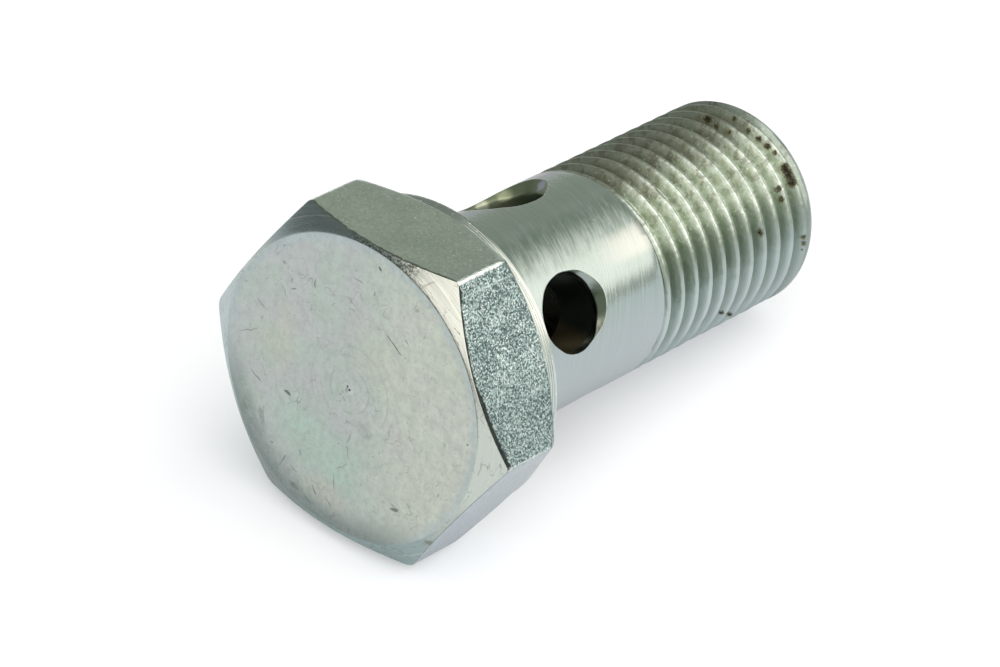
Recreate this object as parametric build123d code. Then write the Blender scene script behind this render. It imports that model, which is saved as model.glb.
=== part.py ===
from build123d import *
import math
import os

# A hollow hexagon banjo bolt with a G 1/4 thread, turned from one bar of 19 mm hexagon steel.
# The bolt is modelled along X, with its bearing face at X = 0, its crown at -X and its tip at +X.
# Then it is laid on its side, as it comes to rest: on the rear edge of one flat and on its tip.

os.makedirs("parts", exist_ok=True)

# Head: the crown face and the collar are turned to a circle just inside the flats, by these insets
# in radius, and the chamfer under the head starts just outside them
across_flats = 19.0
head_height = 6.9
crown_face_inset = 0.2
crown_chamfer_angle = 30.0
under_chamfer_angle = 30.0
under_face_margin = 0.2
collar_inset = 0.08
collar_height = 0.7
collar_edge_break = 0.15

# Part-off pip at the centre of the crown
pip_diameter = 0.5
pip_height = 0.06

# Shank: plain under the head, then threaded to the tip at the same outside diameter
shank_diameter = 12.9
shank_length = 29.0
tip_chamfer = 0.8

# Cross drillings, right through both walls, each with its mouths countersunk at 90 degrees
cross_drill_diameter = 4.7
first_drilling_from_face = 5.7
first_drilling_turn = 150.0
first_countersink_width = 0.5
second_drilling_from_face = 9.1
second_drilling_turn = 60.0
second_countersink_width = 0.65

# The countersinking cutter starts this far outside the shank
cutter_clearance = 0.1

# Oil gallery, drilled from the tip until it has just passed the first cross drilling
gallery_diameter = 6.5
gallery_overrun = 0.35
gallery_mouth_chamfer = 0.5
drill_point_angle = 118.0

# The blank that the head is turned from is this much larger in radius than the hexagon's corners
blank_allowance = 0.5

# Radii that follow from the hexagon
crown_face_radius = across_flats / 2 - crown_face_inset
collar_radius = across_flats / 2 - collar_inset
under_face_radius = across_flats / 2 + under_face_margin
corner_radius = across_flats / math.sqrt(3)


def cone_rise(radius_change, angle):
    """Length along the bolt that a chamfer of this angle takes for a change of radius."""
    return radius_change * math.tan(math.radians(angle))


def turned_head():
    """Both chamfers and the collar, turned on a blank a little wider than the hexagon's corners."""
    blank_radius = corner_radius + blank_allowance
    front = -head_height
    outline = Polyline(
        (front, 0),
        (front, crown_face_radius),
        (front + cone_rise(blank_radius - crown_face_radius, crown_chamfer_angle), blank_radius),
        (-collar_height - cone_rise(blank_radius - under_face_radius, under_chamfer_angle), blank_radius),
        (-collar_height, under_face_radius),
        (-collar_height, collar_radius),
        (-collar_edge_break, collar_radius),
        (0, collar_radius - collar_edge_break),
        (0, 0),
        close=True,
    )
    return revolve(make_face(outline), Axis.X)


def hexagon_bar():
    """The bar that the head keeps its six sides from, with one flat facing straight down."""
    section = RegularPolygon(across_flats / 2, 6, major_radius=False)
    return extrude(Plane.YZ.offset(-head_height) * section, head_height)


def shank():
    radius = shank_diameter / 2
    outline = Polyline(
        (0, 0),
        (0, radius),
        (shank_length - tip_chamfer, radius),
        (shank_length, radius - tip_chamfer),
        (shank_length, 0),
        close=True,
    )
    return revolve(make_face(outline), Axis.X)


def gallery():
    """The blind hole from the tip, with its drill point and the chamfer at its mouth."""
    radius = gallery_diameter / 2
    floor = first_drilling_from_face - cross_drill_diameter / 2 - gallery_overrun
    point = floor - radius / math.tan(math.radians(drill_point_angle / 2))
    outline = Polyline(
        (point, 0),
        (floor, radius),
        (shank_length - gallery_mouth_chamfer, radius),
        (shank_length, radius + gallery_mouth_chamfer),
        (shank_length, 0),
        close=True,
    )
    return revolve(make_face(outline), Axis.X)


def cross_drilling(from_face, turn, countersink_width):
    """One drilling through both walls, with a 90 degree countersink at each end."""
    surface = shank_diameter / 2
    drill_radius = cross_drill_diameter / 2
    outline = Polyline(
        (0, 0),
        (0, drill_radius),
        (surface - countersink_width, drill_radius),
        (surface + cutter_clearance, drill_radius + countersink_width + cutter_clearance),
        (surface + cutter_clearance, 0),
        close=True,
    )
    half = revolve(make_face(outline), Axis.X)
    whole = half + Rot(0, 0, 180) * half
    return Pos(from_face, 0, 0) * Rot(turn, 0, 0) * Rot(0, 0, 90) * whole


def lie_down(level_bolt):
    """Tip the bolt until its head and its tip touch the ground, then centre it over the origin."""
    tip_edge = (shank_length - tip_chamfer, shank_diameter / 2)
    collar_edge = (-collar_edge_break, collar_radius)
    flat_end = (-collar_height, across_flats / 2)
    slopes = [(edge[1] - tip_edge[1]) / (tip_edge[0] - edge[0]) for edge in (collar_edge, flat_end)]
    lying = Rot(0, math.degrees(math.atan(max(slopes))), 0) * level_bolt
    box = lying.bounding_box()
    middle = box.center()
    return Pos(-middle.X, -middle.Y, -box.min.Z) * lying


head = turned_head() & hexagon_bar()
pip = Plane.YZ.offset(-head_height) * Circle(pip_diameter / 2)
bolt = head + extrude(pip, -pip_height) + shank()
bolt -= gallery()
bolt -= cross_drilling(first_drilling_from_face, first_drilling_turn, first_countersink_width)
bolt -= cross_drilling(second_drilling_from_face, second_drilling_turn, second_countersink_width)
bolt = lie_down(bolt)
bolt.label = "banjo_bolt"
export_step(bolt, "parts/banjo_bolt.step")
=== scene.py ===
import functools
import math

import bpy
from mathutils import Matrix, Vector, noise


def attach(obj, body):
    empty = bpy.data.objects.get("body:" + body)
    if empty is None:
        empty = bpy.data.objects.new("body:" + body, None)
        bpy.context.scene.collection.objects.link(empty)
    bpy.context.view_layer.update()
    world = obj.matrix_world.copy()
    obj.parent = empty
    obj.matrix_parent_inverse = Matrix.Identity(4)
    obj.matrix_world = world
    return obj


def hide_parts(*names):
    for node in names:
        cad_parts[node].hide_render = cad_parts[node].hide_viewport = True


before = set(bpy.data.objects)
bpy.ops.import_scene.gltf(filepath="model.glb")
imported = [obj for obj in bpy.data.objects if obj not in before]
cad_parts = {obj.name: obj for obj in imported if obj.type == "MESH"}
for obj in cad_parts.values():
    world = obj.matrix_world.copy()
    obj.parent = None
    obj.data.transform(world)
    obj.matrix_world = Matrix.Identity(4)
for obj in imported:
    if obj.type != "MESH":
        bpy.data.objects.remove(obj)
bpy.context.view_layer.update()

mm = 0.001


# --- Studio ---
# A wide pale floor in a pale tent, which is bright on the side where the camera stands and dim on
# the far side. Nothing here is part of the bolt.
floor_half_width = 2
floor_colour = (0.66, 0.71, 0.77, 1)
floor_glow_seen = 0.3
floor_glow_reflected = 0.12
tent_front = (-0.243, -0.97, 0.5)
tent_far_left = (-0.94, 0.34, 0)
tent_bright = (1.9, 1.76, 1.64)
tent_dim = (0.5, 0.52, 0.46)
tent_dimmest = (0.25, 0.27, 0.26)
tent_left_to_right = (-0.5, 0.3)
tent_right_edge = (0.14, 0.24)
tent_left_edge = (0, 0.45)
tent_foot = (0.09, 0.21)
tent_far_fade = (-0.2, 0.7)
camera_lens = 180.466
camera_place = (-192.04, -142.042, 178.576)
camera_turn = (53.82595, -4.59915, -49.53978)


class Nodes:
    """The node tree of a material or a world. Each call adds a node and gives back its output."""

    def __init__(self, owner):
        owner.use_nodes = True
        self.owner = owner
        self.tree = owner.node_tree
        self.tree.nodes.clear()

    def add(self, kind, inputs=None, output=0, **settings):
        node = self.tree.nodes.new("ShaderNode" + kind)
        for name, value in settings.items():
            setattr(node, name, value)
        for name, value in (inputs or {}).items():
            self.give(node.inputs[name], value)
        return node.outputs[output] if node.outputs else node

    def give(self, socket, value):
        if isinstance(value, bpy.types.NodeSocket):
            self.tree.links.new(value, socket)
        else:
            socket.default_value = value

    def math(self, operation, *values):
        return self.add("Math", dict(enumerate(values)), operation=operation)

    def vector(self, operation, *values, output=0):
        return self.add("VectorMath", dict(enumerate(values)), output, operation=operation)

    def towards(self, vector, direction):
        """How far a vector points along a direction."""
        return self.vector("DOT_PRODUCT", vector, Vector(direction).normalized(), output="Value")

    def step(self, value, start, end, low=0, high=1):
        """Goes smoothly from low to high while value goes from start to end."""
        inputs = {"Value": value, "From Min": start, "From Max": end, "To Min": low, "To Max": high}
        return self.add("MapRange", inputs, interpolation_type="SMOOTHSTEP")

    def mix(self, share, first, second):
        """A colour between two: inputs 6 and 7 of a mix node are its colours, and output 2."""
        first, second = [(*c, 1) if isinstance(c, tuple) else c for c in (first, second)]
        return self.add("Mix", {0: share, 6: first, 7: second}, 2, data_type="RGBA")

    def between(self, share, first, second):
        """A number between two numbers."""
        return self.math("MULTIPLY_ADD", share, self.math("SUBTRACT", second, first), first)


def put_in_scene(name, data):
    made = bpy.data.objects.new(name, data)
    bpy.context.scene.collection.objects.link(made)
    return made


floor_nodes = Nodes(bpy.data.materials.new("studio_floor"))
path = floor_nodes.add("LightPath").node
seen = floor_nodes.math("MULTIPLY", path.outputs["Is Camera Ray"], floor_glow_seen)
glow = floor_nodes.math("MULTIPLY_ADD", path.outputs["Is Glossy Ray"], floor_glow_reflected, seen)
matt = floor_nodes.add("BsdfDiffuse", {"Color": floor_colour})
light = floor_nodes.add("Emission", {"Color": (1, 1, 1, 1), "Strength": glow})
both = floor_nodes.add("AddShader", {0: matt, 1: light})
floor_nodes.add("OutputMaterial", {"Surface": both})
w = floor_half_width
mesh = bpy.data.meshes.new("studio_floor")
mesh.from_pydata([(-w, -w, 0), (w, -w, 0), (w, w, 0), (-w, w, 0)], [], [(0, 1, 2, 3)])
mesh.materials.append(floor_nodes.owner)
put_in_scene("studio_floor", mesh)

# The bright side ends sharply on the right and fades out slowly on the left.
tent = Nodes(bpy.data.worlds.new("tent"))
way = tent.add("TexCoord", output="Generated")
front = tent.towards(way, tent_front)
right = tent.step(tent.towards(way, (1, 0, 0)), *tent_left_to_right)
edge = tent.between(right, tent.step(front, *tent_right_edge), tent.step(front, *tent_left_edge))
lit = tent.math("MULTIPLY", edge, tent.step(tent.towards(way, (0, 0, 1)), *tent_foot))
far_left = tent.step(tent.towards(way, tent_far_left), *tent_far_fade)
far = tent.mix(far_left, tent_dim, tent_dimmest)
cloth = tent.add("Background", {"Color": tent.mix(lit, far, tent_bright)})
white = tent.add("Background", {"Color": (1, 1, 1, 1)})
seen = tent.add("LightPath", output="Is Camera Ray")
both = tent.add("MixShader", {0: seen, 1: cloth, 2: white})
tent.add("OutputWorld", {"Surface": both})
bpy.context.scene.world = tent.owner

camera_data = bpy.data.cameras.new("camera")
camera_data.lens = camera_lens
camera_data.sensor_width = 36
camera_data.clip_start = 0.01
camera = put_in_scene("camera", camera_data)
camera.location = Vector(camera_place) * mm
camera.rotation_euler = [math.radians(a) for a in camera_turn]
bpy.context.scene.camera = camera
bpy.context.scene.view_settings.view_transform = "Standard"


# --- Head: bar and lathe ---
# The bolt starts as a length of 19 mm hexagon steel bar. On the lathe its end is faced, leaving a
# small pip, and chamfered at 30 degrees, and the collar and the shank are turned down behind it.
# It is drawn along X with its bearing face at X = 0, in mm, before it is laid on its side.
across_flats = 19
head_height = 6.9
crown_radius = 9.3
collar_radius = 9.43
collar_height = 0.8
chamfer_slope = math.tan(math.radians(30))
corner_rounds = {0: 0.75, 60: 0.45, 120: 0.16, 180: 0.45, 240: 0.75, 300: 0.8}
pip_radius = 0.25
pip_height = 0.06
pip_edge = 0.04
pip_top_radius = 0.06
pip_shoulder_height, pip_shoulder_radius = 0.036, 0.175
shank_radius = 6.45
shank_fillet = 0.2
head_end = 2.3
flat_edge = 0.07
rear_corner_wear = 0.45
crisp_edge = 0.11
worn_edge = 0.6
worn_side = 285
worn_drop = 0.12
worn_from = 7.4
worn_front = (-0.8 * head_height, -0.5 * head_height)
collar_edge = 0.05
collar_blend = 0.03
score_depth = 0.03
score_half_width = 0.035
scores = (0.62, 0.44, 0.27)

# Columns of points round the bolt, with more at the hexagon's corners
columns_per_side = 32
column_step = 60 / columns_per_side
corner_columns = (0.3, 0.7, 1.2, 2.3)
column_turns = [column_step * i for i in range(6 * columns_per_side)]
for side in range(6):
    column_turns += [(60 * side + sign * off) % 360 for sign in (-1, 1) for off in corner_columns]
column_turns.sort()
turns = [math.radians(t) for t in column_turns]
columns = len(turns)
blend_rows = 4
longest_blend = 0.45
points = []
faces = []


def place_at(along, radius, turn):
    return along, radius * math.cos(turn), radius * math.sin(turn)


def add_point(*place):
    points.append(place_at(*place))
    return len(points) - 1


def add_face(corners, plating):
    corners = list(dict.fromkeys(corners))
    if len(corners) > 2:
        faces.append((corners, plating))


def add_ring(places):
    """One point in each column, from one place for them all or from a place for each."""
    if isinstance(places, tuple):
        places = [places] * columns
    return [add_point(along, radius, turn) for (along, radius), turn in zip(places, turns)]


def add_band(first, second, plating, left_open=()):
    """The faces between two closed rows of points. A row can be one point over and over."""
    for j in range(len(first)):
        if j not in left_open:
            k = (j + 1) % len(first)
            add_face((first[j], first[k], second[k], second[j]), plating)


def ease(value, start, end):
    """Goes smoothly from 0 to 1 while value goes from start to end."""
    t = min(1, max(0, (value - start) / (end - start)))
    return t * t * (3 - 2 * t)


def mixed(a, b, t):
    return tuple(p + (q - p) * t for p, q in zip(a, b))


def step_back(corner, towards, length):
    """The place this far back from a corner, where its blend starts or ends."""
    full = math.dist(corner, towards)
    return mixed(corner, towards, min(length, full * longest_blend) / full)


def rounded(profile):
    """The places down a profile, with its corners blended, and the plating of each band between."""
    spots = [corner[:2] for corner in profile]
    places = [spots[0]]
    bands = []
    last = spots[0]
    for i in range(1, len(profile)):
        blend, rows, plating = profile[i][2:]
        before = after = spots[i]
        if blend:
            before = step_back(spots[i], spots[i - 1], blend)
            after = step_back(spots[i], spots[i + 1], blend)
        places += [mixed(last, before, s / rows) for s in range(1, rows + 1)]
        bands += [plating] * rows
        if blend:
            bands += [plating] * (blend_rows // 2) + [profile[i + 1][4]] * (blend_rows // 2)
            for s in range(1, blend_rows + 1):
                t = s / blend_rows
                places.append(mixed(mixed(before, spots[i], t), mixed(spots[i], after, t), t))
        last = after
    return places, bands


def hexagon_radius(turn):
    """Distance from the axis to the hexagon's side, whose corners are rounded by wear."""
    half_side = math.radians(30)
    off = math.radians(abs((math.degrees(turn) + 30) % 60 - 30))
    corner = corner_rounds[60 * math.floor((math.degrees(turn) + 30) / 60) % 360]
    centre = (across_flats / 2 - corner) / math.cos(half_side)
    if off > math.atan2(corner / 2, centre + corner * math.cos(half_side)):
        return across_flats / 2 / math.cos(half_side - off)
    return centre * math.cos(off) + math.sqrt(corner ** 2 - (centre * math.sin(off)) ** 2)


def worn_share(turn):
    """1 on the side where the crown's edge is rubbed down, and 0 on the other half."""
    return max(0, math.cos(turn - math.radians(worn_side)))


def rubbed(place, turn):
    """A place on the head, moved back where the crown is worn."""
    along, radius = place
    reach = min(1, max(0, radius - worn_from) / (across_flats / 2 - worn_from))
    front = 1 - ease(along, *worn_front)
    return along + worn_drop * worn_share(turn) * reach ** 2 * front, radius


# The bolt as it lies: on the rear edge of its lowest flat and on the start of its tip's chamfer
tip_contact = 28.2
flat_end = 0.7
lying_tilt = math.atan((across_flats / 2 - shank_radius) / (tip_contact + flat_end))
lying_place = Vector((-10.79743, 0, 9.37407)) * mm
all_platings = []


class Plating(Nodes):
    """Zinc plating on one surface of the bolt. Places are in mm, in the frame it is drawn in."""

    def __init__(self, name):
        super().__init__(bpy.data.materials.new(name))
        laid = {"Location": lying_place, "Rotation": (0, lying_tilt, 0), "Scale": (mm, mm, mm)}
        laid["Vector"] = self.add("TexCoord", output="Object")
        self.place = self.add("Mapping", laid, vector_type="TEXTURE")
        self.along = self.add("SeparateXYZ", {0: self.place}, "X")
        across = self.vector("MULTIPLY", self.place, (0, 1, 1))
        self.radius = self.vector("LENGTH", across, output="Value")
        self.hue = None
        self.height = 0
        all_platings.append(self)

    def noise(self, per_mm, detail=2, roughness=0.5, seed=0, place=None, output=0):
        """Noise about 0.5, with this many features per mm along, and across the bolt."""
        along, across = per_mm if isinstance(per_mm, tuple) else (per_mm, per_mm)
        scale, shift = (along, across, across), (seed, -seed, 2 * seed)
        moved = self.vector("MULTIPLY_ADD", place or self.place, scale, shift)
        inputs = {"Vector": moved, "Scale": 1, "Detail": detail, "Roughness": roughness}
        return self.add("TexNoise", inputs, output)

    def turned(self, per_mm, roughness):
        """Noise in rings, as the facing tool leaves them."""
        outwards = self.add("CombineXYZ", {"X": self.radius})
        return self.noise((per_mm, 0), 3, roughness, place=outwards)

    def patches(self, per_mm, detail, roughness, seed, start, end, share=1):
        """Ragged patches. They fade in while a noise goes from start to end."""
        return self.step(self.noise(per_mm, detail, roughness, seed), start, end, 0, share)

    def wavy(self, reach, per_mm, seed=0):
        """The place, pushed about by up to about this reach."""
        push = self.noise(per_mm, 1, seed=seed, output="Color")
        push = self.vector("SUBTRACT", push, (0.5, 0.5, 0.5))
        return self.vector("MULTIPLY_ADD", push, (reach, reach, reach), self.place)

    def line(self, value, half_width, middle=0.5):
        """1 on the contour where value is at the middle, and 0 away from it."""
        off = self.math("ABSOLUTE", self.math("SUBTRACT", value, middle))
        return self.step(off, half_width, half_width * 0.3)

    def mark(self, place, centre, size, turn=0, core=0.4):
        """1 inside an ellipsoid about a centre, fading out from its core. It is turned about X."""
        turned = (math.radians(turn), 0, 0)
        inputs = {"Vector": place, "Location": centre, "Rotation": turned, "Scale": size}
        near = self.add("Mapping", inputs, vector_type="TEXTURE")
        return self.step(self.vector("LENGTH", near, output="Value"), 1, core)

    def facing(self, turn):
        """The cosine of the angle round the bolt from this turn to the place."""
        way = (0, math.cos(math.radians(turn)), math.sin(math.radians(turn)))
        return self.math("DIVIDE", self.towards(self.place, way), self.radius)

    def side(self, turn, start, end, share=1):
        """The side that faces this turn. It fades in while that cosine goes from start to end."""
        return self.step(self.facing(turn), start, end, 0, share)

    def most(self, values):
        return functools.reduce(functools.partial(self.math, "MAXIMUM"), values)

    def all_of(self, *values):
        return functools.reduce(functools.partial(self.math, "MULTIPLY"), values)

    def marks(self, place, along, table, core):
        """The marks of a table (y, z, half length, half width, turn, depth) on an end face."""
        found = []
        for y, z, length, width, turn, depth in table.values():
            mark = self.mark(place, (along, y, z), (mark_reach, length, width), turn, core)
            found.append(self.all_of(mark, depth))
        return found

    def coat(self, colour, *shares):
        """A colour over what the surface has so far, where all of these shares are 1."""
        self.hue = self.mix(self.all_of(*shares), self.hue, colour)

    def lift(self, value, height):
        """Adds this height, in mm, where value is 1."""
        self.height = self.math("MULTIPLY_ADD", value, height, self.height)

    def finish(self, roughness, metallic=1):
        """The shader, with the colours and heights so far."""
        inputs = {"Base Color": self.hue, "Roughness": roughness, "Metallic": metallic}
        inputs["Normal"] = self.add("Bump", {"Height": self.height, "Distance": mm, "Strength": 1})
        self.add("OutputMaterial", {"Surface": self.add("BsdfPrincipled", inputs)})


# The crown: faced, so it has faint turned rings, and then plated and passivated, which leaves weak
# patches of pink, green and yellow. It has hair-thin stains and a few scratches.
crown_face = -head_height
mark_reach = 9  # how deep a mark on an end face goes
dirt = (0.11, 0.12, 0.1)
crown_pink = (0.55, 0.57, 0.57)
crown_green = (0.51, 0.59, 0.53)
crown_mint = (0.49, 0.64, 0.55)
crown_straw = (0.58, 0.6, 0.5)
crown_cream = (0.66, 0.69, 0.59)
crown_blue = (0.47, 0.56, 0.59)
crown_shade = (0.38, 0.42, 0.4)
crown_fleck = (0.66, 0.69, 0.62)
crown_smear = (0.2, 0.25, 0.24)
dull_zinc = (0.25, 0.3, 0.28)
cream_way = (0, -1, 0.1)
mint_patches = {
    "below the pip": (0.4, -5.2, 5, 2.9, 30, 0.9),
    "lower left": (3.4, -4, 3.6, 2.6, 0, 0.9),
}
straw_patches = {
    "lower right": (-6.4, -3, 2.4, 4, 0, 0.7),
    "left": (5.4, 0.8, 2.2, 3.6, 0, 0.7),
    "upper right": (-2, 2.6, 4, 2.6, 20, 0.7),
    "bottom": (0.5, -7.6, 4, 1.4, 0, 0.7),
}
crown_marks = {
    # y, z, half length, half width, turn, depth
    "smudge on the left": (4.3, -2.4, 0.34, 0.15, 17, 0.75),
    "dot, upper left": (5.9, 5.5, 0.2, 0.15, 18, 0.35),
    "upright tick": (3.5, 5.3, 0.38, 0.05, 86, 0.5),
    "squiggle beside it": (4.6, 5.4, 0.27, 0.05, 6, 0.4),
    "dash": (4.9, 4.2, 0.28, 0.06, 153, 0.55),
    "upper tick": (-0.8, 8.4, 0.2, 0.08, 24, 0.85),
    "tick below it": (-0.7, 6.7, 0.18, 0.05, 80, 0.45),
    "hook near the top": (0.6, 7, 0.5, 0.06, 6, 0.4),
    "long scratch, upper half": (-2.3, 4.5, 0.52, 0.055, 28, 0.65),
    "long scratch, lower half": (-2.8, 4.2, 0.54, 0.055, 27, 0.8),
    "tick beside the scratch": (-3.4, 4.9, 0.2, 0.05, 44, 0.5),
    "loop": (-4.3, -5.5, 0.33, 0.12, 37, 0.3),
    "dark smudge": (-4.4, -5.7, 0.38, 0.14, 167, 0.7),
    "tick on the right": (-7.2, -3.2, 0.18, 0.05, 101, 0.6),
    "tick at the bottom": (0.2, -7.8, 0.4, 0.06, 38, 0.45),
    "dot on the right": (-8.6, 0.9, 0.12, 0.07, 18, 0.6),
    "hair on the left": (7.2, -4.7, 0.57, 0.05, 38, 0.4),
    "long stain, top": (-0.5, -2.9, 0.65, 0.04, 97, 0.35),
    "long stain, second": (-0.6, -4, 0.48, 0.05, 66, 0.45),
    "long stain, third": (-0.3, -5, 0.72, 0.04, 138, 0.4),
    "long stain, bottom": (0.1, -6.2, 0.69, 0.05, 77, 0.45),
    "stain by the left corner": (7.7, 0.1, 1, 0.06, 147, 0.35),
    "curl by the left corner": (7.1, 2.2, 0.5, 0.06, 32, 0.35),
    "short dash, top": (0.7, 5, 0.28, 0.05, 176, 0.3),
    "scuff, lower left": (2.9, -8, 0.6, 0.14, 14, 0.3),
    "scuff beside it": (1.8, -8.4, 0.55, 0.12, 28, 0.25),
    "curl, lower left": (3.05, -6.9, 0.42, 0.06, 20, 0.4),
    "squiggle beside the curl": (3.9, -6.8, 0.48, 0.07, 110, 0.45),
    "scratch below the curl": (1.4, -7.5, 0.45, 0.06, 55, 0.5),
    "dots above the curl": (2.75, -5.7, 0.22, 0.1, 80, 0.35),
    "dot, lower left": (4.9, -6.1, 0.12, 0.1, 0, 0.5),
    "wavy stain on the left": (6.7, -2.5, 0.65, 0.07, 27, 0.45),
    "smear on the left": (5.9, -4.8, 0.6, 0.26, 70, 0.3),
    "dot below the pip": (0.25, -0.7, 0.16, 0.1, 60, 0.3),
    "smear below the pip": (-1.4, -2, 0.9, 0.5, 20, 0.14),
    "curl on the upper left": (5.6, 3.8, 0.48, 0.06, 50, 0.35),
}
# Painted highlight and painted shade on the small pip, with dark specks.
pip_marks = {
    # y, z, half size, share, colour
    "pale ring of painted light": (0.06, 0, 0.46, 0.45, (0.68, 0.74, 0.7)),
    "painted shade on its side": (0.18, -0.1, 0.2, 0.75, (0.24, 0.29, 0.31)),
    "dark speck on its left": (0.17, 0.15, 0.13, 0.9, (0.08, 0.1, 0.11)),
    "dark speck in the middle": (-0.04, 0.05, 0.11, 0.95, (0.05, 0.07, 0.07)),
    "painted highlight": (0.02, 0.17, 0.08, 0.95, (0.95, 1, 0.98)),
    "spot below it": (0.45, -0.32, 0.12, 0.6, (0.28, 0.34, 0.31)),
}

crown = Plating("zinc_crown")
crown.hue = crown.mix(crown.patches(0.3, 2, 0.5, 0, 0.36, 0.64), crown_pink, crown_green)
soft = crown.wavy(2.4, 0.5, 4)
crown.coat(crown_mint, crown.most(crown.marks(soft, crown_face, mint_patches, 0)))
crown.coat(crown_straw, crown.most(crown.marks(soft, crown_face, straw_patches, 0)))
crown.coat(crown_cream, crown.step(crown.towards(soft, cream_way), -1, 5.5, 0, 0.7))
rim = crown.math("ADD", crown.radius, crown.noise(0.9, 2, seed=2))
crown.coat(crown_blue, crown.step(rim, 9.1, 9.6, 0, 0.6))
crown.coat(crown_fleck, crown.patches(6.5, 3, 0.7, 32, 0.52, 0.7, 0.28))
clouds = crown.noise(1.6, 5, 0.7, 5)
# Painted shade darkens the crown's lower-left rim, as if it reflected the shadowed floor.
dull_rim = crown.step(crown.math("ADD", crown.radius, clouds), 7.7, 9.7)
crown.coat(dull_zinc, dull_rim, crown.side(290, 0.35, 0.85))
smears = crown.patches(1.5, 4, 0.7, 35, 0.44, 0.6, 0.55)
crown.coat(crown_smear, crown.step(crown.radius, 7.2, 8.6), crown.side(300, 0.6, 0.92), smears)
crown.coat(crown_shade, crown.step(clouds, 0.3, 0.72, 0, 0.48))
crown.coat(crown_shade, crown.patches(3.2, 4, 0.7, 26, 0.5, 0.66, 0.36))
stains = crown.marks(crown.wavy(0.3, 1.8, 1), crown_face, crown_marks, 0.55)
hairs = crown.line(crown.noise(0.5, 2, 0.5, 8), 0.006)
stains.append(crown.all_of(hairs, crown.patches(0.45, 1, 0.5, 11, 0.52, 0.62, 0.34)))
short_hairs = crown.line(crown.noise(1.5, 1, 0.5, 14), 0.014)
stains.append(crown.all_of(short_hairs, crown.patches(1.2, 1, 0.5, 17, 0.6, 0.68, 0.38)))
stains.append(crown.patches(4.5, 1, 0.5, 20, 0.72, 0.78, 0.4))
stain = crown.most(stains)
rings = crown.turned(4, 0.65)
ring_share = crown.step(crown.radius, 5.5, 1.2, 0.08, 0.75)
ring_places = crown.patches(0.9, 3, 0.5, 29, 0.4, 0.6)
crown.coat(crown_shade, crown.step(rings, 0.48, 0.62), ring_share, ring_places)
wavy = crown.wavy(0.12, 5, 7)
for y, z, size, share, colour in pip_marks.values():
    spot = crown.mark(wavy, (crown_face, y, z), (mark_reach, size, size), 0, 0.3)
    crown.coat(colour, spot, share)
crown.coat(dirt, stain)
crown.lift(crown.noise(7, 3, 0.6), 0.003)
crown.lift(rings, crown.step(crown.radius, 6, 0.8, 0.0006, 0.006))
crown.lift(stain, -0.006)
patchy = crown.step(crown.noise(0.8, 3, seed=23), 0.3, 0.7, 0.34, 0.44)
crown.finish(crown.math("MULTIPLY_ADD", stain, 0.2, patchy))

# The chamfer: turned, so fine tool lines run round it, one of them brighter, and dirt lies in its
# scratches. Light and shade are painted on by side: painted highlight on the right, painted shade
# at the top and the bottom, and painted bluish colour on the left and at the lower right.
chamfer_marks = {
    "smudge at the lower right": (-7, -6.7, 0.46, 0.26, 173, 0.65),
    "small one below it": (-6.5, -8.1, 0.28, 0.12, 151, 0.6),
    "brown rub near the top": (-2.6, 9.4, 0.6, 0.14, 150, 0.55),
    "brown rub beside it": (-4, 8.9, 0.5, 0.1, 140, 0.4),
}
chamfer_place = -6.3
chamfer_zinc = (0.52, 0.56, 0.52)
chamfer_dull = (0.4, 0.44, 0.41)
chamfer_bright = (0.62, 0.66, 0.6)
chamfer_scratch = (0.22, 0.25, 0.24)
brown_dirt = (0.17, 0.15, 0.11)
dark_grit = (0.06, 0.08, 0.075)
bright_grit = (0.85, 0.92, 0.9)
tool_line_radius = 10.12
chamfer_sides = {
    # turn, start, end, share, colour
    "painted bluish reflection on the left": (350, 0.75, 0.95, 0.8, (0.47, 0.55, 0.56)),
    "painted shade at the bottom": (295, 0.78, 0.94, 0.9, (0.25, 0.31, 0.3)),
    "painted highlight on the right": (180, 0.9, 0.97, 0.7, (0.62, 0.67, 0.61)),
    "painted shade at the top": (66, 0.8, 0.97, 0.8, (0.26, 0.33, 0.33)),
    "painted bluish shade at the lower right": (252, 0.75, 0.95, 0.85, (0.3, 0.4, 0.4)),
}

chamfer = Plating("zinc_chamfer")
tool_lines = chamfer.noise((15, 0.35), 3, 0.6)
chamfer.hue = chamfer.mix(chamfer.step(tool_lines, 0.3, 0.72, 0, 0.55), chamfer_zinc, chamfer_dull)
rubs = chamfer.marks(chamfer.wavy(0.3, 2, 2), chamfer_place, chamfer_marks, 0.4)
scratches = chamfer.line(chamfer.noise((3.2, 0.5), 3, 0.6, 3), 0.013)
rubs.append(chamfer.all_of(scratches, chamfer.patches(0.7, 1, 0.5, 6, 0.46, 0.56, 0.55)))
rub = chamfer.most(rubs)
# Painted light and shade, one colour for each side the chamfer faces.
for *look, colour in chamfer_sides.values():
    chamfer.coat(colour, chamfer.side(*look))
tool_line = chamfer.line(chamfer.radius, 0.05, tool_line_radius)
chamfer.coat(chamfer_bright, tool_line, 0.45)
chamfer.coat(brown_dirt, rub)
inner_edge = chamfer.math("MULTIPLY_ADD", chamfer.noise(2.2, 3, 0.7, 41), 0.22, chamfer.radius)
inner_edge = chamfer.step(inner_edge, 9.5, 9.42)
chamfer.coat(dirt, inner_edge, chamfer.side(138, 0.76, 0.92, 0.75))
scratches = chamfer.patches((9, 0.4), 3, 0.6, 71, 0.52, 0.6, 0.55)
inner_part = chamfer.step(chamfer.radius, 9.95, 9.55)
chamfer.coat(chamfer_scratch, scratches, inner_part, chamfer.side(114, 0.955, 0.985))
thin_side = chamfer.side(95, 0.958, 0.984)
grit = chamfer.noise(9, 2, 0.6, 51)
chamfer.coat(dark_grit, thin_side, chamfer.step(grit, 0.46, 0.54, 0, 0.75))
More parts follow.
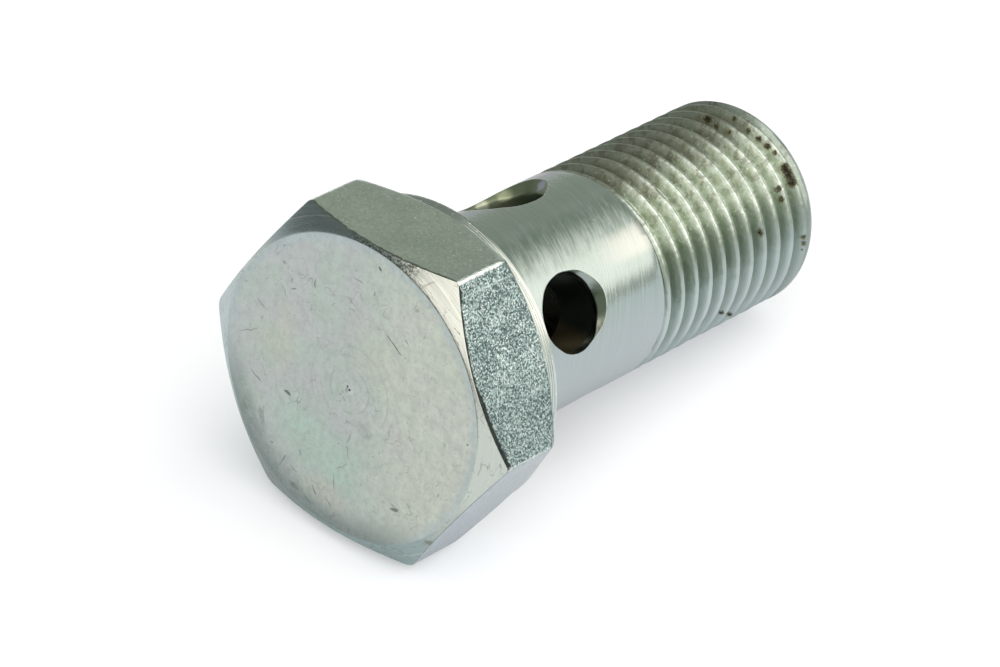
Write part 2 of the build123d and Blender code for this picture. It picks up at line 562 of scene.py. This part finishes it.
chamfer.coat(bright_grit, thin_side, chamfer.step(grit, 0.38, 0.3, 0, 0.8))
chamfer.lift(tool_lines, 0.004)
chamfer.lift(chamfer.noise(6, 2), 0.0015)
chamfer.lift(rub, -0.004)
chamfer.finish(chamfer.step(tool_lines, 0.3, 0.7, 0.2, 0.3))

# The flats: the drawn and pickled skin of the bar, coarse-grained, with its glitter partly in the
# bumps and partly painted: dark and bright painted grains and glints on the flats facing turns
# 150 and 330, and small painted glint specks on the others. Painted shade darkens the side facing
# turn 172, and the flat facing turn 210 has a pale blue painted reflection of the floor. Dirt lies
# along the chamfer's edge, and the corners are rubbed bright.
rubbed_grain = 0.03
pickled_grain = 0.055
pickled_side = 150
smooth_side = 210
flat_zinc = (0.46, 0.54, 0.48)
flat_dull = (0.4, 0.48, 0.42)
smooth_zinc = (0.52, 0.58, 0.64)
pickled_dark = (0.06, 0.108, 0.112)
pickled_bright = (0.62, 0.77, 0.74)
black_dirt = (0.015, 0.02, 0.018)
rubbed_corner = (0.88, 0.95, 0.93)
corner_start, corner_full = 10.955, 11.015
scratch_place = (-4, -5.94, 8.71)
scratch_size = (3, 0.09, 0.09)
# Blotches and dark spots, and bright specks that are painted glints.
rubbed_patches = {
    # per mm, detail, roughness, seed, start, end, share, colour
    "blotches": (3.6, 5, 0.78, 22, 0.4, 0.6, 0.42, (0.31, 0.37, 0.33)),
    "dark spots": (5.5, 3, 0.65, 15, 0.42, 0.28, 0.6, (0.17, 0.21, 0.18)),
    "specks": (6.6, 2, 0.7, 18, 0.62, 0.76, 0.9, (0.93, 1, 0.94)),
}
# Pits, and painted glints.
pickled_patches = {
    "pits": (6.5, 2, 0.6, 45, 0.42, 0.33, 0.85, (0.025, 0.055, 0.065)),
    "painted glints": (9.5, 1, 0.5, 52, 0.64, 0.72, 0.9, (0.98, 1, 1)),
}

flats = Plating("zinc_flats")
coarse = flats.noise(6.6, 3, 0.75)
fine = flats.noise(11, 2, 0.6, 5)
grain = flats.noise(7.4, 3, 0.72, 27)
clouds = flats.patches(0.6, 3, 0.5, 9, 0.3, 0.7)
# Dark and bright grains painted in place of the glints of the coarse grain.
facets = flats.step(flats.math("MULTIPLY_ADD", clouds, 0.06, grain), 0.42, 0.68)
flats.hue = flats.mix(facets, pickled_dark, pickled_bright)
for *look, colour in pickled_patches.values():
    flats.coat(colour, flats.patches(*look))
# Painted shade on the glittering flat's side facing turn 172.
flats.coat(pickled_dark, flats.side(172, 0.91, 0.99, 0.22))
glitter = flats.hue
flats.hue = flats.mix(clouds, flat_zinc, flat_dull)
# A pale blue painted reflection of the floor on the flat facing turn 210.
flats.coat(smooth_zinc, flats.side(smooth_side, 0.84, 0.88))
for *look, colour in rubbed_patches.values():
    flats.coat(colour, flats.patches(*look))
pickled = flats.math("ABSOLUTE", flats.all_of(flats.facing(pickled_side), flats.radius))
pickled = flats.step(pickled, across_flats / 2 - 0.25, across_flats / 2 - 0.1)
flats.coat(glitter, pickled)
scratch = flats.mark(flats.wavy(0.14, 3), scratch_place, scratch_size, 0, 0.6)
flats.coat(pickled_bright, scratch, 0.5)
to_front = head_height + crown_radius * chamfer_slope
from_front = flats.math("MULTIPLY_ADD", flats.radius, -chamfer_slope, to_front)
from_front = flats.math("ADD", flats.along, from_front)
edge_dirt = flats.math("MULTIPLY_ADD", flats.noise(2.5, 2, seed=12), 0.3, from_front)
thicker = flats.all_of(pickled, flats.side(168, 0.95, 0.985, 0.16))
edge_dirt = flats.step(flats.math("SUBTRACT", edge_dirt, thicker), 0.36, 0.24, 0, 0.95)
flats.coat(black_dirt, edge_dirt, flats.between(pickled, 0.78, 1))
corner = flats.math("MULTIPLY_ADD", coarse, 0.18, flats.radius)
flats.coat(rubbed_corner, flats.step(corner, corner_start, corner_full))
flats.lift(coarse, flats.between(pickled, rubbed_grain, 0))
flats.lift(grain, flats.between(pickled, 0, pickled_grain))
flats.lift(fine, 0.006)
flats.finish(flats.between(pickled, 0.22, 0.15))

# The collar: turned, with three fine scored lines and rubbed edges.
collar_bright = (0.72, 0.78, 0.74)
collar_dull = (0.48, 0.54, 0.5)
collar_shade = (0.29, 0.34, 0.31)
collar_sparkle = (0.9, 0.95, 0.88)
score_dirt = (0.3, 0.35, 0.33)

collar = Plating("zinc_collar")
tool_lines = collar.noise((12, 0.3), 3, 0.6)
collar.hue = collar.mix(collar.step(tool_lines, 0.35, 0.65), collar_bright, collar_dull)
collar.coat(collar_shade, collar.side(78, 0.78, 0.9, 0.85))
collar.coat(collar_sparkle, collar.patches(3.5, 1, 0.5, 6, 0.66, 0.72, 0.9))
in_score = collar.step(collar.radius, collar_radius - 0.002, collar_radius - 0.014, 0, 0.9)
collar.coat(score_dirt, in_score)
collar.lift(tool_lines, 0.003)
collar.lift(collar.noise(5, 2), 0.002)
collar.finish(collar.step(tool_lines, 0.3, 0.7, 0.18, 0.28))

# The shank is finished in its own section, but the lathe work on the head runs on to it.
shank = Plating("zinc_shank")


def head_profile(turn):
    side = hexagon_radius(turn)
    front = -head_height
    rear_edge = flat_edge + rear_corner_wear * (side - across_flats / 2)
    profile = [
        # along, radius, corner blend, rows before it, plating
        (front - pip_height, pip_top_radius, 0, 0, crown),
        (front - pip_shoulder_height, pip_shoulder_radius, pip_edge, 1, crown),
        (front, pip_radius, pip_edge, 1, crown),
        (front, crown_radius, crisp_edge + (worn_edge - crisp_edge) * worn_share(turn), 14, crown),
        (front + (side - crown_radius) * chamfer_slope, side, flat_edge, 6, chamfer),
        (-collar_height - (side - collar_radius) * chamfer_slope, side, rear_edge, 10, flats),
        (-collar_height, collar_radius, collar_blend, 4, collar),
    ]
    for score in scores:
        for off, depth in ((-score_half_width, 0), (0, score_depth), (score_half_width, 0)):
            profile.append((-score + off, collar_radius - depth, 0, 1, collar))
    return profile + [
        (-collar_edge, collar_radius, 0, 1, collar),
        (0, collar_radius - collar_edge, 0, 1, collar),
        (0, shank_radius, shank_fillet, 5, collar),
        (head_end, shank_radius, 0, 6, shank),
    ]


head_columns = []
for turn in turns:
    places, bands = rounded(head_profile(turn))
    head_columns.append([rubbed(place, turn) for place in places])
head_rings = [add_ring(list(places)) for places in zip(*head_columns)]
pip_top = add_point(-head_height - pip_height, 0, 0)
add_band([pip_top] * columns, head_rings[0], crown)
for first, second, plating in zip(head_rings, head_rings[1:], bands):
    add_band(first, second, plating)


# --- Plain shank ---
# Turned down from the bar to 12.9 mm behind the collar, and rubbed with emery cloth in the lathe,
# so fine streaks run round it. Room is left in its rows for the mouths of the cross drillings.
row_step = 0.34
shank_rows = 30
mouth_half_rows = 10
mouth_half_turn = 14 * column_step
drillings = (
    # along, turn, countersink width, how much wider it is on one side
    (5.7, 150, 0.4, 0.38),
    (5.7, 330, 0.4, 0.38),
    (9.1, 60, 0.65, 0),
    (9.1, 240, 0.65, 0),
)
shank_dark = (0.36, 0.44, 0.42)
shank_zinc = (0.49, 0.56, 0.54)
shank_green = (0.38, 0.47, 0.41)
shank_film = (0.28, 0.34, 0.3)
shank_shade = (0.22, 0.29, 0.25)
shank_back = (0.09, 0.115, 0.105)
shank_smooth = (0.47, 0.51, 0.54)
shank_cream = (0.66, 0.67, 0.62)
worn_zinc = (0.56, 0.61, 0.6)
rubbing_slant = 0.3
rubbing_turn = math.radians(115)
rubbing_way = (0, -math.sin(rubbing_turn), math.cos(rubbing_turn))

slant = shank.all_of(shank.towards(shank.place, rubbing_way), rubbing_slant)
slant = shank.add("CombineXYZ", {"X": slant})
rubbed_place = shank.vector("ADD", shank.place, slant)
streaks = shank.noise((11, 0.22), 4, 0.65, place=rubbed_place)
long_streaks = shank.noise((4, 0.14), 3, 0.6, 4, place=rubbed_place)
clouds = shank.noise(0.5, 3, seed=7)
shank.hue = shank.mix(shank.step(streaks, 0.3, 0.7), shank_dark, shank_zinc)
shank.coat(shank_green, shank.step(clouds, 0.4, 0.7, 0, 0.3))
specks = shank.patches(3.6, 2, 0.5, 11, 0.66, 0.74, 0.5)
shank.coat(worn_zinc, specks)
# Patchy painted shade on the top side of the shank.
filmy = shank.math("MULTIPLY_ADD", clouds, 0.3, shank.facing(72))
shank.coat(shank_film, shank.step(filmy, 0.85, 1.1, 0, 0.55))
# Patchy painted shade where the highlight starts, on the side facing turn 113.
rubbed_off = shank.step(shank.noise((2.2, 0.5), 3, 0.65, 21, rubbed_place), 0.38, 0.62)
shank.coat(shank_shade, shank.side(113, 0.965, 0.996, 0.7), rubbed_off)
# Dark painted shade on the back of the shank, facing turn 45.
shank.coat(shank_back, shank.side(45, 0.86, 0.96, 0.93))
# Underneath: fainter streaks, and a pale blue painted reflection of the floor.
smooth = shank.side(200, 0.7, 0.9)
shank.coat(shank_smooth, smooth, 0.6)
# A cream painted highlight on the side facing turn 130, near the thread.
shank.coat(shank_cream, shank.side(130, 0.985, 0.999), shank.step(shank.along, 8.5, 12.5, 0, 0.55))
shank.lift(streaks, shank.between(smooth, 0.0045, 0.0015))
shank.lift(long_streaks, shank.between(smooth, 0.01, 0.003))
shank.lift(shank.noise(2.2, 3, seed=13), 0.004)
shank.finish(shank.step(shank.math("ADD", streaks, specks), 0.3, 0.75, 0.14, 0.27))


def off_turn(turn, middle):
    """How far one turn is from another, in degrees either way."""
    return (turn - middle + 180) % 360 - 180


def covered(row, column):
    """True for a patch of the shank that the mouth of a drilling takes up."""
    along = head_end + row_step * (row + 0.5)
    start = column_turns[column]
    turn = start + (column_turns[(column + 1) % columns] - start) % 360 / 2
    half_length = mouth_half_rows * row_step
    return any(
        abs(along - middle) < half_length and abs(off_turn(turn, way)) < mouth_half_turn
        for middle, way, *_ in drillings
    )


shank_rings = [head_rings[-1]]
for row in range(shank_rows):
    shank_rings.append(add_ring((head_end + row_step * (row + 1), shank_radius)))
    left_open = [column for column in range(columns) if covered(row, column)]
    add_band(shank_rings[row], shank_rings[row + 1], shank, left_open)


# --- Cross drillings ---
# Two 4.7 mm holes are drilled right through the shank, a quarter turn apart, and their mouths are
# countersunk. The zinc reaches the countersinks, and hardly gets into the holes, whose walls are
# painted near black as shade, with painted light where the second hole opens upward. Painted
# reflections and highlights lie in the countersinks, and a brown painted reflection lies in the
# first hole.
hole_radius = 2.35
wall_end = 5.3
mouth_rings = 5
turn_slack = 0.001
lip = 0.12
lip_edge = 0.05
hole_edge = 0.12
burr_share = 0.14
burr_waves = 2.5
lean_way = math.radians(-55)
edge_tries = 60
cutter_radius = 2.34
cutter_length = 11.2
second_turn = 60
countersink_radius = 6.15
bare_steel = (0.05, 0.065, 0.055)
oily_steel = (0.11, 0.14, 0.09)
brown_oil = (0.2, 0.15, 0.085)
countersink_dark = (0.1, 0.12, 0.1)
countersink_bright = (0.2, 0.22, 0.19)
countersink_oily = (0.17, 0.21, 0.14)
# Painted reflections, highlights and shade in the countersinks.
countersink_marks = {
    # along, turn, half size, colour
    "painted dark reflection, side of the first": (8.25, 152, 1.15, (0.05, 0.068, 0.05)),
    "painted light, top of the first": (7.6, 136.5, 0.95, (0.34, 0.39, 0.37)),
    "painted highlight, rim of the first": (8.18, 163, 0.42, (0.46, 0.5, 0.46)),
    "painted highlight in the second": (9.64, 38, 0.62, (0.48, 0.53, 0.42)),
    "painted green reflection in the second": (10.96, 46, 0.62, (0.34, 0.4, 0.27)),
    "painted lilac reflection, end of the second": (11.67, 68, 0.5, (0.36, 0.38, 0.43)),
}

drilled = Plating("drilled_steel")
upward = drilled.all_of(drilled.facing(second_turn), drilled.radius)
# Painted light where the second hole opens upward; it is rougher there too.
oily = drilled.step(upward, 3.6, 5)
mottle = drilled.patches(2.6, 3, 0.65, 9, 0.35, 0.65)
drilled.hue = drilled.mix(mottle, countersink_dark, countersink_bright)
drilled.coat(countersink_oily, oily)
shaky = drilled.wavy(0.4, 1.8)
for along, turn, size, colour in countersink_marks.values():
    centre = place_at(along, countersink_radius, math.radians(turn))
    drilled.coat(colour, drilled.mark(shaky, centre, (size, size, size), 0, 0.45))
countersink = drilled.hue
# The holes' walls: painted shade, near black, lighter where the second hole opens upward.
drilled.hue = drilled.mix(oily, bare_steel, oily_steel)
# A brown painted reflection on the wall facing turn 178.
drilled.coat(brown_oil, drilled.side(178, 0.975, 0.998, 0.8))
plated = drilled.math("MULTIPLY_ADD", drilled.noise(1.2, 2), 0.3, drilled.radius)
plated = drilled.step(plated, 5.85, 6.05)
drilled.coat(countersink, plated)
drilled.lift(drilled.noise((2, 9), 3, 0.6, 3), 0.004)
drilled.finish(drilled.between(oily, drilled.between(plated, 0.42, 0.26), 0.5))


def mouth_border(along, turn):
    """Rows and columns round the room left for a mouth, in order."""
    offs = {j: off_turn(column_turns[j], turn) for j in range(columns)}
    inside = [j for j in sorted(offs, key=offs.get) if abs(offs[j]) < mouth_half_turn + turn_slack]
    low = round((along - head_end) / row_step) - mouth_half_rows
    high = low + 2 * mouth_half_rows
    border = [(low, j) for j in inside]
    border += [(row, inside[-1]) for row in range(low + 1, high)]
    border += [(high, j) for j in reversed(inside)]
    border += [(row, inside[0]) for row in range(high - 1, low, -1)]
    return border


def height_at(across):
    """The height of the shank's round surface this far to the side of a drilling's axis."""
    return math.sqrt(shank_radius ** 2 - across ** 2)


def mouth(along, turn, width, lean):
    """A countersunk mouth: rings from the shank's rows to the lip, and down the drilled wall."""
    border = mouth_border(along, turn)
    starts, paths = [], []
    for row, j in border:
        x, off = head_end + row_step * row - along, math.radians(off_turn(column_turns[j], turn))
        starts.append((x, off))
        way = math.atan2(math.sin(off) * shank_radius, x)
        across = math.sin(way)
        burr = 1 + burr_share * noise.noise((burr_waves * math.cos(way), burr_waves * across, turn))
        burr += lean * math.cos(way - lean_way)
        bottom = shank_radius - width * burr
        edge = hole_radius + width
        for _ in range(edge_tries):
            edge = hole_radius + max(0, height_at(edge * across) - bottom)
        outer = edge + lip
        profile = [
            (outer, height_at(outer * across), 0, 0, shank),
            (edge, height_at(edge * across), lip_edge, 1, shank),
            (hole_radius, bottom, hole_edge, 3, drilled),
            (hole_radius, wall_end, 0, 3, drilled),
        ]
        places, bands = rounded(profile)
        paths.append((math.cos(way), across, places))
    previous = [shank_rings[row][j] for row, j in border]
    for n in range(1, mouth_rings + 1):
        t = n / mouth_rings
        current = []
        for (x, off), (lengthwise, across, path) in zip(starts, paths):
            outer = path[0][0]
            x_end, off_end = outer * lengthwise, math.asin(outer * across / shank_radius)
            place = mixed((along + x, off), (along + x_end, off_end), t)
            current.append(add_point(place[0], shank_radius, math.radians(turn) + place[1]))
        add_band(previous, current, shank)
        previous = current
    up, side = math.sin(math.radians(turn)), math.cos(math.radians(turn))
    for level, plating in enumerate(bands, 1):
        current = []
        for lengthwise, across, path in paths:
            out, height = path[level]
            sideways = out * across
            y, z = height * side - sideways * up, height * up + sideways * side
            points.append((along + out * lengthwise, y, z))
            current.append(len(points) - 1)
        add_band(previous, current, plating)
        previous = current
    hub = add_point(along, wall_end, math.radians(turn))
    add_band(previous, [hub] * len(previous), drilled)


for drilling in drillings:
    mouth(*drilling)


# --- Thread ---
# A G 1/4 pipe thread, 19 to the inch with 55 degree flanks, cut in the lathe. It runs out shallow
# towards the shank. Its crests are rubbed bright, and dirt and rust sit in its grooves. Light and
# shade are painted on by side: painted shade on the top side and in the grooves of the lower side,
# painted highlights and glints, and a bluish painted reflection of the floor underneath.
pitch = 1.337
crest_place = 14.05
crest_turn = 133.6
thread_start = 13.6
run_in = 0.55
run_out = 27.45
run_out_length = 0.55
round_start = 27.9
round_length = 1.1
round_drop = 0.8
thread_end = 28.9
round_power = 1.6
crest_half_width = 0.11
crest_round = 0.05
root_depth = 0.75
root_round = 0.16
thread_angle = 55
flank = 1 / math.tan(math.radians(thread_angle / 2))
nick_depth = 0.1
nick_along, nick_round = 0.9, 5
nick_start = 0.25
nick_reach = 0.35
ring_gap = 0.02
row_places = (0, 0.07, 0.12, 0.17, 0.24, 0.33, 0.42, 0.5, 0.58)
in_pitch = list(row_places) + [pitch / 2] + [pitch - p for p in reversed(row_places[1:])]
first_pitch, last_pitch = -2, 13


def groove_depth(distance):
    """Depth below the crest at this distance along from the crest's middle."""
    down = (distance - crest_half_width) * flank
    down = 0.5 * (down + math.sqrt(down ** 2 + crest_round ** 2))
    near = max(0, root_round - abs(down - root_depth)) / root_round
    return min(down, root_depth) - near ** 2 * root_round / 4


def end_radius(along):
    """The turned end of the bolt rounds over past the last crest."""
    return shank_radius - round_drop * max(0, (along - round_start) / round_length) ** round_power


def thread_radius(along, turn):
    """Distance from the axis to the thread, with small nicks in its crests."""
    crest = crest_place + pitch * (math.degrees(turn) - crest_turn) / 360
    distance = abs((along - crest + pitch / 2) % pitch - pitch / 2)
    cut = ease(along, thread_start, thread_start + run_in)
    cut *= 1 - ease(along, run_out, run_out + run_out_length)
    nick = noise.noise(place_at(nick_along * along, nick_round, turn))
    nick = nick_depth * max(0, nick - nick_start) * max(0, 1 - distance / nick_reach)
    return min(shank_radius - (groove_depth(distance) + nick) * cut, end_radius(along))


stain_size = 2.1
rust_brown = (0.022, 0.02, 0.012)
rust_stain = (0.14, 0.14, 0.075)
rust_pits = {
    # along, turn, half width, strength
    "deep pit on top": (25.69, 81.5, 0.27, 1),
    "its neighbour": (25.61, 88.2, 0.18, 0.8),
    "olive pit": (25.67, 97.3, 0.16, 0.7),
    "olive pit above it": (27.03, 90.7, 0.17, 0.7),
    "row in the last groove, first": (26.99, 101.5, 0.18, 0.7),
    "row in the last groove, second": (27.06, 109.8, 0.18, 0.8),
    "row in the last groove, third": (27.09, 116.3, 0.2, 0.8),
    "row in the last groove, fourth": (27.18, 121.7, 0.15, 0.7),
    "brown run, top": (27.23, 131.5, 0.26, 0.9),
    "brown run, second": (27.24, 133.8, 0.28, 0.9),
    "brown run, middle": (27.24, 136, 0.3, 0.9),
    "brown run, fourth": (27.25, 138.2, 0.29, 0.9),
    "brown run, bottom": (27.25, 140.2, 0.28, 1),
    "pit beside it": (25.9, 140.2, 0.19, 0.8),
    "pit below that": (25.88, 146.2, 0.18, 0.8),
    "single pit": (23.29, 157.6, 0.21, 0.8),
    "end pit, upper": (27.43, 172.7, 0.18, 0.7),
    "end pit, lower": (27.47, 176.6, 0.18, 0.7),
    "low speck": (20.76, 201.7, 0.15, 0.8),
    "low pit": (22.18, 209.4, 0.18, 0.9),
}


def rust(plating):
    """Lays the stains and the pits over the colour. Gives back where the pits are."""
    shaky = plating.wavy(0.22, 3.5, 3)
    spots = []
    for along, turn, width, strength in rust_pits.values():
        a = math.radians(turn)
        centre = place_at(along, thread_radius(along, a), a)
        spot = plating.mark(shaky, centre, [stain_size * width] * 3, 0, 0)
        spots.append(plating.all_of(spot, strength))
    near_end = plating.step(plating.along, 21, 27.5, 0, 0.05)
    scattered = plating.math("ADD", plating.noise(1.7, 2, 0.6, 31), near_end)
    rusty = plating.most(spots + [plating.step(scattered, 0.72, 0.9)])
    ragged = plating.math("SUBTRACT", plating.noise(7, 2, 0.6, 37), 0.5)
    rusty = plating.math("MULTIPLY_ADD", ragged, plating.step(rusty, 0, 0.5), rusty)
    plating.coat(rust_stain, plating.step(rusty, 0.05, 0.55, 0, 0.8))
    plating.coat(rust_brown, plating.step(rusty, 0.38, 1))
    return plating.step(rusty, 0.4, 0.65)


thread_green = (0.42, 0.5, 0.42)
thread_zinc = (0.53, 0.61, 0.53)
thread_clean = (0.43, 0.5, 0.5)
thread_shade = (0.15, 0.2, 0.15)
thread_soot = (0.16, 0.18, 0.13)
thread_smudge = (0.13, 0.13, 0.095)
thread_fleck = (0.8, 0.85, 0.76)
run_out_shade = (0.27, 0.33, 0.3)
groove_grime = (0.22, 0.26, 0.17)
groove_shade = (0.24, 0.3, 0.26)
groove_green = (0.21, 0.27, 0.2)
flank_green = (0.27, 0.33, 0.26)
flank_olive = (0.22, 0.27, 0.15)
crest_dark = (0.28, 0.34, 0.3)
crest_bright = (0.44, 0.51, 0.47)
crest_rubbed = (0.56, 0.64, 0.62)
crest_shine = (0.7, 0.8, 0.74)

thread = Plating("zinc_thread")
uneven = thread.math("MULTIPLY_ADD", thread.noise(1.6, 2, 0.6), 0.1, thread.radius)
crest = thread.step(uneven, 6.36, 6.46)
deep = thread.step(thread.radius, 6.3, 5.8)
mottle = thread.noise(1.4, 4, 0.65, 2)
patchy = thread.all_of(thread.math("SUBTRACT", mottle, 0.5), 0.6)
grime = thread.patches(3.2, 4, 0.75, 5, 0.48, 0.62, 0.7)
beads = thread.patches(2.8, 3, 0.7, 12, 0.38, 0.62)
thread.hue = thread.mix(thread.step(mottle, 0.32, 0.68), thread_green, thread_zinc)
thread.coat(groove_grime, grime, thread.between(deep, 0.4, 0.9))
low_flank = thread.step(thread.radius, 5.85, 6.05)
thread.coat(flank_green, low_flank, thread.step(thread.radius, 6.44, 6.3, 0, 0.15))
olive = thread.patches(1.1, 5, 0.75, 44, 0.46, 0.6, 0.42)
thread.coat(flank_olive, thread.step(thread.radius, 6.44, 6.25), olive)
thread.coat(thread.mix(beads, crest_dark, crest_bright), crest)
# A bluish painted reflection of the floor on the underside.
thread.coat(thread_clean, thread.step(thread.math("ADD", thread.facing(205), patchy), 0.55, 0.85))
shadowed = thread.step(thread.math("MULTIPLY_ADD", patchy, 0.22, thread.facing(157)), 0.935, 0.995)
thread.coat(thread_shade, shadowed, thread.step(thread.along, 15, 26, 0.85, 0.4))
thread.coat(groove_shade, thread.step(thread.radius, 6.4, 6.1), thread.side(178, 0.8, 0.96, 0.6))
less_far_on = thread.step(thread.along, 17, 27, 0.7, 0.25)
# Painted light on the crests of the lower side, less towards the tip.
thread.coat(crest_rubbed, crest, thread.side(178, 0.88, 0.98), less_far_on)
beaded = thread.all_of(thread.step(thread.radius, 6.41, 6.445), thread.between(beads, 0.35, 0.8))
thread.coat(crest_shine, beaded, thread.side(126, 0.89, 0.98))
# Patchy painted shade in the grooves on the side facing turn 154.
grimy = thread.all_of(thread.step(thread.radius, 6.4, 5.95), thread.between(grime, 0.4, 0.75))
thread.coat(groove_green, grimy, thread.side(154, 0.93, 0.99))
# Painted shade on the top side, deepest in the grooves; it is rougher there too.
sooty = thread.step(thread.math("ADD", thread.facing(58), patchy), 0.6, 0.86)
thread.coat(thread_soot, sooty, thread.between(deep, 0.65, 0.9))
thread.coat(run_out_shade, thread.step(thread.along, 27, 27.9, 0, 0.75))
# Darker patches on the top side of the thread.
smudges = thread.patches((0.7, 1.4), 4, 0.7, 61, 0.5, 0.62)
thread.coat(thread_smudge, smudges, thread.side(92, 0.6, 0.92, 0.6))
# Small painted glints on the side facing turn 115.
flecks = thread.patches(5, 3, 0.7, 66, 0.6, 0.68, 0.45)
thread.coat(thread_fleck, flecks, thread.side(115, 0.7, 0.92))
pitted = rust(thread)
thread.lift(thread.noise((9, 0.5), 3, 0.6, 8), 0.004)
thread.lift(mottle, thread.between(crest, 0.03, 0.016))
thread.lift(pitted, -0.05)
rough = thread.between(sooty, thread.between(crest, 0.34, 0.28), 0.5)
thread.finish(thread.between(pitted, rough, 0.75), thread.step(pitted, 0.2, 0.8, 1, 0.85))

start_ring = add_ring((thread_start, shank_radius))
middle_ring = add_ring(((thread_start + head_end + row_step * shank_rows) / 2, shank_radius))
add_band(shank_rings[-1], middle_ring, shank)
add_band(middle_ring, start_ring, shank)
end_ring = add_ring((thread_end, end_radius(thread_end)))
thread_points = {}


def thread_point(row, column):
    """A point on the thread. Its rows follow the helix, and end in the two plain rings."""
    turn = turns[column]
    step, place = divmod(row, len(in_pitch))
    along = crest_place + pitch * (step + (math.degrees(turn) - crest_turn) / 360) + in_pitch[place]
    if along < thread_start + ring_gap:
        return start_ring[column]
    if along > thread_end - ring_gap:
        return end_ring[column]
    if (row, column) not in thread_points:
        thread_points[row, column] = add_point(along, thread_radius(along, turn), turn)
    return thread_points[row, column]


for row in range(first_pitch * len(in_pitch), last_pitch * len(in_pitch)):
    for column in range(columns):
        after = (column + 1) % columns
        level = row if after else row + len(in_pitch)
        corners = ((row, column), (level, after), (level + 1, after), (row + 1, column))
        add_face([thread_point(*corner) for corner in corners], thread)


# --- Tip and gallery ---
# The tip is faced, and the 6.5 mm oil gallery is drilled in from it as far as the first cross
# drilling. Its mouth is chamfered, and its walls carry the drill's spiral marks and old oil.
shank_length = 29
gallery_radius = 3.25
gallery_floor = 3
gallery_chamfer = 0.5
drill_angle = 118
drill_point = gallery_floor - gallery_radius / math.tan(math.radians(drill_angle / 2))
point_depth, point_radius = 0.01, 0.03
tip_edge = 0.05
floor_edge = 0.1
tip_zinc = (0.42, 0.5, 0.48)
tip_green = (0.4, 0.45, 0.38)
tip_rim = (0.27, 0.33, 0.3)
gallery_dark = (0.1, 0.1, 0.08)
gallery_bright = (0.3, 0.33, 0.3)
gallery_oil = (0.1, 0.085, 0.05)

tip = Plating("zinc_tip")
tip.hue = tip.mix(tip.patches(1.2, 3, 0.5, 0, 0.35, 0.65), tip_zinc, tip_green)
# Painted shade darkens the rounded end and the rim of the end face.
tip.coat(tip_rim, tip.step(tip.radius, 5.5, 6.1, 0, 0.75))
pitted = rust(tip)
tip.lift(tip.noise(5, 2), 0.003)
tip.lift(tip.turned(10, 0.6), 0.004)
tip.finish(tip.between(pitted, 0.28, 0.75), tip.step(pitted, 0.2, 0.8, 1, 0.85))

gallery = Plating("gallery_steel")
reamed = gallery.noise((8, 0.6), 3, 0.6)
# Painted shade: the gallery's wall darkens deeper in from its mouth.
gallery.hue = gallery.mix(gallery.step(gallery.along, 20, 29), gallery_dark, gallery_bright)
gallery.coat(gallery_oil, gallery.patches(0.8, 3, 0.5, 0, 0.45, 0.62, 0.6))
gallery.lift(reamed, 0.006)
gallery.finish(gallery.step(reamed, 0.3, 0.7, 0.24, 0.4))

tip_profile = [
    (thread_end, end_radius(thread_end), 0, 0, tip),
    (shank_length, end_radius(shank_length), tip_edge, 1, tip),
    (shank_length, gallery_radius + gallery_chamfer, tip_edge, 4, tip),
    (shank_length - gallery_chamfer, gallery_radius, tip_edge, 2, tip),
    (gallery_floor, gallery_radius, floor_edge, 12, gallery),
    (drill_point + point_depth, point_radius, 0, 4, gallery),
]
previous = end_ring
places, bands = rounded(tip_profile)
for place, plating in zip(places[1:], bands):
    current = add_ring(place)
    add_band(previous, current, plating)
    previous = current
add_band(previous, [add_point(drill_point, 0, 0)] * columns, gallery)


# --- Finished bolt ---
# The whole bolt is one solid piece of steel. The cross drillings are opened through to the
# gallery, and the bolt is laid on its side, resting on its head and its tip.
sharp_angle = 35
cutter_sides = 96

mesh = bpy.data.meshes.new("banjo_bolt_metal")
mesh.from_pydata(points, [], [corners for corners, plating in faces])
for plating in all_platings:
    mesh.materials.append(plating.owner)
for polygon, (corners, plating) in zip(mesh.polygons, faces):
    polygon.material_index = all_platings.index(plating)
    polygon.use_smooth = True
bolt = put_in_scene("banjo_bolt_metal", mesh)

for along, turn, *_ in drillings[::2]:
    bpy.ops.mesh.primitive_cylinder_add(
        vertices=cutter_sides, radius=cutter_radius, depth=cutter_length
    )
    cutter = bpy.context.object
    lean = Matrix.Rotation(math.radians(turn - 90), 4, "X")
    cutter.data.transform(Matrix.Translation((along, 0, 0)) @ lean)
    for plating in all_platings:
        cutter.data.materials.append(plating.owner)
    for polygon in cutter.data.polygons:
        polygon.material_index = all_platings.index(drilled)
        polygon.use_smooth = True
    cut = bolt.modifiers.new("cut", "BOOLEAN")
    cut.operation = "DIFFERENCE"
    cut.solver = "EXACT"
    cut.object = cutter
    drilled_bolt = bolt.evaluated_get(bpy.context.evaluated_depsgraph_get())
    opened = bpy.data.meshes.new_from_object(drilled_bolt)
    bolt.modifiers.clear()
    bolt.data = opened
    bpy.data.objects.remove(cutter)

laid = Matrix.Translation(lying_place) @ Matrix.Rotation(lying_tilt, 4, "Y") @ Matrix.Scale(mm, 4)
bolt.data.transform(laid)
bolt.data.set_sharp_from_angle(angle=math.radians(sharp_angle))
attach(bolt, "root")
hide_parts("banjo_bolt")
